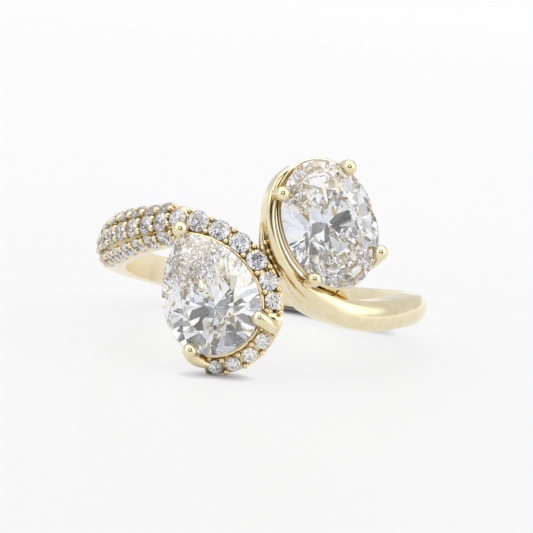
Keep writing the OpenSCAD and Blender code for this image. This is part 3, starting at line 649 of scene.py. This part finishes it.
def makeBeads():
    spots = []
    for i in range(smallStones["columns"] + 1):
        for angle in paveAngles:
            for s in (-1, 1):
                length = paveLengths[0] + (i - 0.5) * smallStones["pavePitch"]
                spots.append((length, angle + s * beads["paveAngle"]))
    # two beads between neighbours on the halo, and two beside each foot of the claw that comes over it
    clawStep, away = beads["clawStep"], beads["clawShare"] * haloPitch
    lengths = [(haloLengths[i - 1] + haloLengths[i]) / 2 for i in range(1, len(haloStones)) if i != clawStep]
    lengths += [haloLengths[clawStep - 1] + away, haloLengths[clawStep] - away]
    spots += [(length, s * beads["haloAngle"]) for length in lengths for s in (-1, 1)]
    parts = []
    for length, angle in spots:
        place, out, _ = bandAt(length, angle)
        size = beads["diameter" if length > haloLengths[-1] else "haloDiameter"]
        parts.append(capsule(place - beads["sink"] * out, out, size / 2, beads["stem"]))
    addGold("goldBeads", *joined(parts), beads["crease"])


makeBeads()
print("beads made")

# Round wires, and the balls on the claws; under each stone runs a rim wire and a smaller base wire
wires = {"around": 16, "rim": 0.36, "base": 0.58, "rimInset": 0.04, "rimDrop": 0.46, "footInset": 0.55,
         "footDrop": 1.7, "loopPoints": 120, "ballAround": 28, "ballLevels": 16, "crease": 50}


def smoothPath(points, radii, steps):
    keys = np.column_stack([points, radii])
    last = len(keys) - 1
    path = []
    for i in range(last):
        neighbours = [keys[min(max(i + k, 0), last)] for k in (-1, 0, 1, 2)]
        path += [curvePoint(*neighbours, t) for t in np.arange(steps) / steps]
    path = np.array(path + [keys[-1]])
    return path[:, :3], path[:, 3]


def tube(points, radii, loop=False, reference=(0.2, 0.3, 0.93)):
    points = np.asarray(points, float)
    count, around = len(points), wires["around"]
    if loop:
        along = unit(np.roll(points, -1, 0) - np.roll(points, 1, 0))
    else:
        along = unit(np.gradient(points, axis=0))
    side = np.array(reference)
    verts = []
    for i in range(count):
        side = squared(side, along[i])
        other = np.cross(along[i], side)
        for a in np.arange(around) * 2 * math.pi / around:
            verts.append(points[i] + radii[i] * (math.cos(a) * side + math.sin(a) * other))
    faces = skin(count, around, loop=loop, turnedOver=True)
    if not loop:
        faces += [ringOf(0, around)[::-1], ringOf(count - 1, around)]
    return np.array(verts), faces


def ball(place, radius, axis):
    side = unit(np.cross(axis, askew))
    other = np.cross(axis, side)
    around, levels = wires["ballAround"], wires["ballLevels"]
    points = [place + axis * radius]
    for b in np.arange(1, levels) * math.pi / levels:
        for a in np.arange(around) * 2 * math.pi / around:
            level = math.sin(b) * (math.cos(a) * side + math.sin(a) * other)
            points.append(place + radius * (level + math.cos(b) * axis))
    points.append(place - axis * radius)
    end = len(points) - 1
    low = ringOf(levels - 2, around, 1)
    faces = [(0, 1 + j, 1 + (j + 1) % around) for j in range(around)] + skin(levels - 1, around, 1)
    faces += [(end, low[(j + 1) % around], low[j]) for j in range(around)]
    return np.array(points), faces


def pearSpot(angle, gap, rise):
    return onHead(pearFrame, pearPoint(angle, gap), rise)


def ovalSpot(angle, gap, rise):
    return onHead(ovalFrame, ovalPoint(angle, gap), rise)


def makeBaskets():
    parts = []
    angles = [360 * i / wires["loopPoints"] - 90 for i in range(wires["loopPoints"])]
    for head, spot in ((pearFrame, pearSpot), (ovalFrame, ovalSpot)):
        for inset, drop, size in ((wires["rimInset"], wires["rimDrop"], wires["rim"]),
                                  (wires["footInset"], wires["footDrop"], wires["base"])):
            path = [spot(a, -inset, -drop) for a in angles]
            parts.append(tube(path, [size / 2] * len(path), True, head[1]))
    addGold("goldBaskets", *joined(parts), wires["crease"])


def claw(head, spot, steps, radius, end=None):
    path = [spot(*step[:3]) for step in steps]
    smooth, sizes = smoothPath(path, [step[3] for step in steps], claws["pathSteps"])
    return [tube(smooth, sizes), ball(path[-1] if end is None else end, radius, head[1])]


def makeClaws():
    parts = []
    for angle in claws["ovalAngles"]:
        steps = [[angle + a, *rest] for a, *rest in claws["ovalSteps"]]
        parts += claw(ovalFrame, ovalSpot, steps, claws["ballRadius"], ovalSpot(angle, *claws["ovalBall"]))
    parts += claw(ovalFrame, ovalSpot, claws["wedgeSteps"], claws["wedgeSteps"][-1][3])
    parts += claw(pearFrame, pearSpot, claws["freeSteps"], claws["ballRadius"])
    parts += claw(pearFrame, pearSpot, claws["tailSteps"], claws["ballRadius"])
    parts += claw(pearFrame, pearSpot, claws["tipSteps"], claws["tipBallRadius"])
    addGold("goldClaws", *joined(parts), claws["crease"])


# The joint between the halo and the curl, and the web that carries the oval's gallery
joins = {"seamRadii": [0.12, 0.3, 0.46, 0.46], "seamDepths": [0.75, 0.7, 0.8, 0.85],
         # key section of the halo's side, key section of the curl, and the share from one to the other
         "seamPairs": [[10, 5, 0.8], [9, 4, 0.66], [8, 3, 0.5], [7, 2, 0.5]],
         # tiny beads of solder along the seam
         "beadDiameter": 0.3, "beadStem": 0.21, "beads": 9, "beadsFromTo": [0.36, 0.95], "beadRise": 0.85,
         "beadAside": 0.35,
         # round the oval and along the shank, from one end of the web to the other
         "webOval": [237, 276], "webShank": [17, 32], "webThickness": 0.5, "webSlope": 0.35,
         "webHole": [0.56, 0.64], "webPoints": 7, "webFootInset": 0.4, "webFootDrop": 0.8, "webFootFall": 0.3,
         "webHeadInset": 0.08, "webHeadDrop": 0.88, "webBow": 0.12, "webLine": [-0.15, 1.05, 6],
         "webEnd": 1.02, "crease": 50}


def seamPath():
    path = []
    for (a, b, part), depth in zip(joins["seamPairs"], joins["seamDepths"]):
        middle = mix(bandKeys[a][:3], bandKeys[curlStart + b][:3], part)
        path.append(middle - depth * unit([middle[0], middle[1], 0]))
    return smoothPath(path, joins["seamRadii"], claws["pathSteps"])


def webPart(start, end):
    # a curved plate from the shank up to the gallery under the oval stone
    rows = []
    for t in np.linspace(start, end, joins["webPoints"]):
        foot = (outerRadius - joins["webFootInset"]) * turned(mix(*joins["webShank"], t))
        foot -= (shoulder["dip"] - joins["webFootDrop"] + joins["webFootFall"] * t ** 3) * fingerUp
        head = ovalSpot(mix(*joins["webOval"], t), -joins["webHeadInset"], -joins["webHeadDrop"])
        head = mix(foot, head, math.sqrt(min(1, (joins["webEnd"] - t) / joins["webSlope"])))
        inward = -unit([*((foot + head) / 2)[:2], 0])
        line = [mix(foot, head, u) - inward * joins["webBow"] * math.sin(math.pi * u)
                for u in np.linspace(*joins["webLine"])]
        rows.append(line + [p + inward * joins["webThickness"] for p in line[::-1]])
    count = len(rows[0])
    faces = skin(len(rows), count, turnedOver=True)
    faces += [ringOf(0, count)[::-1], ringOf(len(rows) - 1, count)]
    return np.concatenate(rows), faces


def makeJoins():
    path, sizes = seamPath()
    parts = [tube(path, sizes), ball(path[0], sizes[0], unit(path[0] - path[1]))]
    parts += [webPart(0, joins["webHole"][0]), webPart(joins["webHole"][1], 1)]
    for i in range(joins["beads"]):
        at = int(mix(*joins["beadsFromTo"], i / (joins["beads"] - 1)) * (len(path) - 1))
        out = unit([path[at][0], path[at][1], 0])
        aside = joins["beadAside"] if i % 2 else -joins["beadAside"]
        aside = unit(np.cross(path[at + 1] - path[at - 1], out)) * sizes[at] * aside
        place = path[at] + out * sizes[at] * joins["beadRise"] + aside
        parts.append(capsule(place, out, joins["beadDiameter"] / 2, joins["beadStem"]))
    addGold("goldJoins", *joined(parts), joins["crease"])


makeBaskets()
makeClaws()
makeJoins()
print("baskets, claws and joins made")

# Brilliant cut: each facet is one plane, cut off a prism with the girdle's outline
cut = {"crown": 0.15, "pavilion": 0.43, "table": 0.57, "star": 0.79, "keel": 0.24, "tipKeel": [0.42, 0.62],
       "girdle": 0.16, "mains": 8, "halves": [11.25, 33.75], "outline": 96, "smallOutline": 32,
       "spare": 0.4, "onPlane": 1e-6, "merged": 1e-5}


def prism(point, sides, bottom, top):
    bm = bmesh.new()
    low, high = [], []
    for i in range(sides):
        p = point(360 * i / sides - 90)
        low.append(bm.verts.new((p[0], p[1], bottom)))
        high.append(bm.verts.new((p[0], p[1], top)))
    bm.faces.new(low[::-1])
    bm.faces.new(high)
    for i in range(sides):
        k = (i + 1) % sides
        bm.faces.new((low[i], low[k], high[k], high[i]))
    return bm


def cutAlong(bm, planes):
    for place, normal in planes:
        cutting = bmesh.ops.bisect_plane(bm, geom=bm.verts[:] + bm.edges[:] + bm.faces[:], plane_co=place,
                                         plane_no=normal, dist=cut["onPlane"], clear_outer=True)
        rim = [g for g in cutting["geom_cut"] if isinstance(g, bmesh.types.BMEdge) and g.is_boundary]
        if len(rim) > 2:
            bmesh.ops.contextual_create(bm, geom=rim)
    bmesh.ops.remove_doubles(bm, verts=bm.verts[:], dist=cut["merged"])
    bmesh.ops.recalc_face_normals(bm, faces=bm.faces[:])
    bm.verts.index_update()
    points = np.array([v.co[:] for v in bm.verts])
    faces = [[v.index for v in f.verts] for f in bm.faces]
    bm.free()
    return points, faces


def cutStone(point, outward, middle, width, girdle, sides, tipAngle=None):
    crown, pavilion, edge = width * cut["crown"], width * cut["pavilion"], girdle / 2
    middle = np.array([*middle, 0.0])
    step = 360 / cut["mains"]
    angles = [step * i - 90 for i in range(cut["mains"])]

    def girdlePoint(angle, height):
        return np.array([*point(angle), height])

    def tangent(angle):
        out = outward(angle)
        return np.array([-out[1], out[0], 0.0])

    def planeThrough(a, direction, b):
        normal = unit(np.cross(direction, b - a))
        if normal @ (a - middle) < 0:
            normal = -normal
        return a, normal

    def halfFacet(angle, sign, apex):
        return planeThrough(girdlePoint(angle, sign * edge), tangent(angle), apex)

    def mainFacet(angle, sign, depth, share):
        # the plane, and the point on it that lies on the table's edge or above the culet
        end = mix(middle, girdlePoint(angle, 0), share)
        end[2] = sign * (edge + depth)
        return *halfFacet(angle, sign, end), end

    def meet(planes):
        return np.linalg.solve(np.array([p[1] for p in planes]), [p[0] @ p[1] for p in planes])

    def keelFacets(mains):
        # below the girdle the facets beside the tip meet in a keel, as no facet faces the tip itself
        mains = [m for m, angle in zip(mains, angles) if angle != tipAngle]
        facets = [m[:2] for m in mains]
        for angle in angles:
            for half in cut["halves"]:
                at = angle + half
                fromTip = abs(at - tipAngle)
                share = cut["keel"] if fromTip > step else cut["tipKeel"][0 if fromTip > step / 2 else 1]
                ray = girdlePoint(angle + step / 2 if fromTip > step else at, 0) - middle
                apex = middle + ray * share
                apex[2] = max(p[2] - ((apex - p) @ n - (apex[2] - p[2]) * n[2]) / n[2] for p, n, _ in mains)
                facets.append(halfFacet(at, -1, apex))
        return facets

    def sideFacets(mains, sign, reach):
        facets = []
        for i, angle in enumerate(angles):
            ray = girdlePoint(angle + step / 2, 0) - middle
            first, second = mains[i], mains[(i + 1) % len(mains)]
            apex = meet([first, second, (middle + ray * reach, unit(ray))])
            facets.append(first[:2])
            facets += [halfFacet(angle + half, sign, apex) for half in cut["halves"]]
            if sign > 0:
                facets.append(planeThrough(first[2], unit(second[2] - first[2]), apex))
        return facets

    planes = sideFacets([mainFacet(angle, 1, crown, cut["table"]) for angle in angles], 1, cut["star"])
    mains = [mainFacet(angle, -1, pavilion, 0.0) for angle in angles]
    planes += sideFacets(mains, -1, cut["keel"]) if tipAngle is None else keelFacets(mains)
    return cutAlong(prism(point, sides, -edge - pavilion - cut["spare"], edge + crown), planes)


def placed(shape, head, scale=1.0):
    points, faces = shape
    p = points * scale
    return head[0] + p[:, :1] * head[2] + p[:, 1:2] * head[3] + p[:, 2:] * head[1], faces


def circlePoint(angle):
    return np.array([math.cos(math.radians(angle)), math.sin(math.radians(angle))]) / 2


pearShape = cutStone(lambda a: pearPoint(a, 0), pearOutward, [0, pearEndY], pear["width"], cut["girdle"],
                     cut["outline"], 90)
ovalShape = cutStone(lambda a: ovalPoint(a, 0), ovalOutward, [0, 0], oval["width"], cut["girdle"],
                     cut["outline"])
roundShape = cutStone(circlePoint, lambda a: circlePoint(a) * 2, [0, 0], 1, smallStones["girdleShare"],
                      cut["smallOutline"])
addPiece("pearDiamond", *placed(pearShape, pearFrame), polishedDiamond, "pear_diamond", "pear_stone")
addPiece("ovalDiamond", *placed(ovalShape, ovalFrame), polishedDiamond, "oval_diamond", "oval_stone")
for i, (head, diameter) in enumerate(haloStones):
    addPiece(f"haloDiamond{i + 1:02d}", *placed(roundShape, head, diameter), polishedDiamond,
             "small_diamonds", f"halo_stone_{i + 1:02d}")
paveParts = [placed(roundShape, head, diameter) for head, diameter in paveStones]
addPiece("paveDiamonds", *joined(paveParts), polishedDiamond, "small_diamonds", "shoulder_pave")
print("stones cut and set")

# Floor: a matt sheet of opal acrylic, lit from below: plain and pale, with faint shadows and hardly a gloss
board = {"light": "#ffffff", "pale": "#585859", "paler": "#5b5b5c", "glow": 0.79, "size": 3.0, "roughness": 0.2,
         "gloss": 0.003, "grainMm": 0.4, "tintFromTo": [0, 1], "contactShadowMm": 1.0, "contactShadowGlow": 0.0}


def makeFloor():
    material, tree, shader, place = startMaterial("opalAcrylic")
    shader.inputs["Roughness"].default_value = board["roughness"]
    shader.inputs["Specular IOR Level"].default_value = board["gloss"]
    shader.inputs["Emission Color"].default_value = linearColour(board["light"])
    # painted contact shadow: close under the ring, where ambient occlusion finds the ring, the sheet's glow is
    # turned down
    near = addNode(tree, "ShaderNodeAmbientOcclusion", {"samples": 8, "Distance": board["contactShadowMm"] * mm})
    glow = addNode(tree, "ShaderNodeMapRange", {"To Min": board["contactShadowGlow"], "To Max": board["glow"]},
                   {"Value": near.outputs["AO"]})
    tree.links.new(glow.outputs["Result"], shader.inputs["Emission Strength"])
    grain = addNode(tree, "ShaderNodeTexNoise", {"Scale": 1 / (board["grainMm"] * mm), "Detail": 2},
                    {"Vector": place})
    tint = cloudyTint(tree, grain, (board["pale"], board["paler"]), board["tintFromTo"])
    tree.links.new(tint, shader.inputs["Base Color"])
    half = board["size"] / 2
    corners = [(-half, -half, 0), (half, -half, 0), (half, half, 0), (-half, half, 0)]
    mesh = bpy.data.meshes.new("floorBoard")
    mesh.from_pydata(corners, [], [(0, 1, 2, 3)])
    mesh.materials.append(material)
    floor = bpy.data.objects.new("floorBoard", mesh)
    bpy.context.scene.collection.objects.link(floor)


makeFloor()

# Light: a white tent with brighter panels overhead and to both sides. In front a dark panel with a warm
# lamp in it gives the claws' balls their dots. Each panel has its aim, the half angles where it starts
# and is full, its colour and its level.
tent = {"wall": "#ffffff", "wallLevel": 0.78, "backdropLevel": 0.955,
        "panels": [[(-0.1, 0.1, 1.0), 46, 26, "#ffffff", 1.8], [(0.85, -0.25, 0.6), 38, 20, "#fffdf8", 1.85],
                   [(-0.9, -0.55, 0.6), 26, 14, "#ffffff", 1.8], [(0.12, -0.84, 0.5), 31, 27, "#6a6a6c", 0.05],
                   [(0.06, -0.84, 0.54), 17.5, 12.5, "#fff6e4", 1.5]]}
# what shines through the stones is broken up, as by the many small things round a real tent
glints = {"cell": 12, "strength": 1.17,
          "levels": [(0.0, "#08080a"), (0.13, "#46464a"), (0.28, "#7c7e82"), (0.45, "#b2b5be"),
                     (0.57, "#c4c3c0"), (0.67, "#dcdee2"), (0.81, "#ffffff")]}


def makeTent():
    world = bpy.data.worlds.new("lightTent")
    bpy.context.scene.world = world
    world.use_nodes = True
    tree = world.node_tree
    back = tree.nodes["Background"]
    direction = addNode(tree, "ShaderNodeTexCoord").outputs["Generated"]
    colourMix = {"data_type": "RGBA", "clamp_result": False}
    light = None
    for aim, outer, inner, colour, level in tent["panels"]:
        dot = addNode(tree, "ShaderNodeVectorMath", {"operation": "DOT_PRODUCT"}, {0: direction})
        dot.inputs[1].default_value = Vector(aim).normalized()
        share = addNode(tree, "ShaderNodeMapRange", {"interpolation_type": "SMOOTHSTEP",
                        "From Min": math.cos(math.radians(outer)), "From Max": math.cos(math.radians(inner))},
                        {"Value": dot.outputs["Value"]})
        blend = addNode(tree, "ShaderNodeMix", colourMix, {0: share.outputs["Result"]})
        blend.inputs[6].default_value = [c * tent["wallLevel"] for c in linearColour(tent["wall"])]
        if light is not None:
            tree.links.new(light, blend.inputs[6])
        blend.inputs[7].default_value = [c * level for c in linearColour(colour)]
        light = blend.outputs[2]
    cells = addNode(tree, "ShaderNodeTexVoronoi", {"Scale": 1 / math.radians(glints["cell"])},
                    {"Vector": direction})
    parts = addNode(tree, "ShaderNodeSeparateColor", links={"Color": cells.outputs["Color"]})
    levels = addNode(tree, "ShaderNodeValToRGB", links={"Fac": parts.outputs["Red"]})
    ramp = levels.color_ramp
    ramp.interpolation = "CONSTANT"
    for i, (start, colour) in enumerate(glints["levels"]):
        stop = ramp.elements[i] if i < 2 else ramp.elements.new(start)
        stop.position = start
        stop.color = linearColour(colour)
    bright = addNode(tree, "ShaderNodeVectorMath", {"operation": "SCALE"}, {0: levels.outputs["Color"]})
    bright.inputs["Scale"].default_value = glints["strength"]
    path = addNode(tree, "ShaderNodeLightPath")
    shown = addNode(tree, "ShaderNodeMix", colourMix,
                    {0: path.outputs["Is Transmission Ray"], 6: light, 7: bright.outputs["Vector"]})
    # where the camera sees past the board, the tent is as pale as the board
    plain = addNode(tree, "ShaderNodeMix", colourMix,
                    {0: path.outputs["Is Camera Ray"], 6: shown.outputs[2]})
    plain.inputs[7].default_value = [tent["backdropLevel"]] * 3 + [1]
    tree.links.new(plain.outputs[2], back.inputs["Color"])


makeTent()

scene = bpy.context.scene
scene.view_settings.view_transform = "Standard"
scene.view_settings.look = "None"
# light is reflected many times inside a diamond before it leaves
scene.cycles.max_bounces = 48
scene.cycles.transmission_bounces = 24
scene.cycles.glossy_bounces = 48
scene.cycles.caustics_reflective = False
scene.cycles.caustics_refractive = False
print("floor and light tent made")
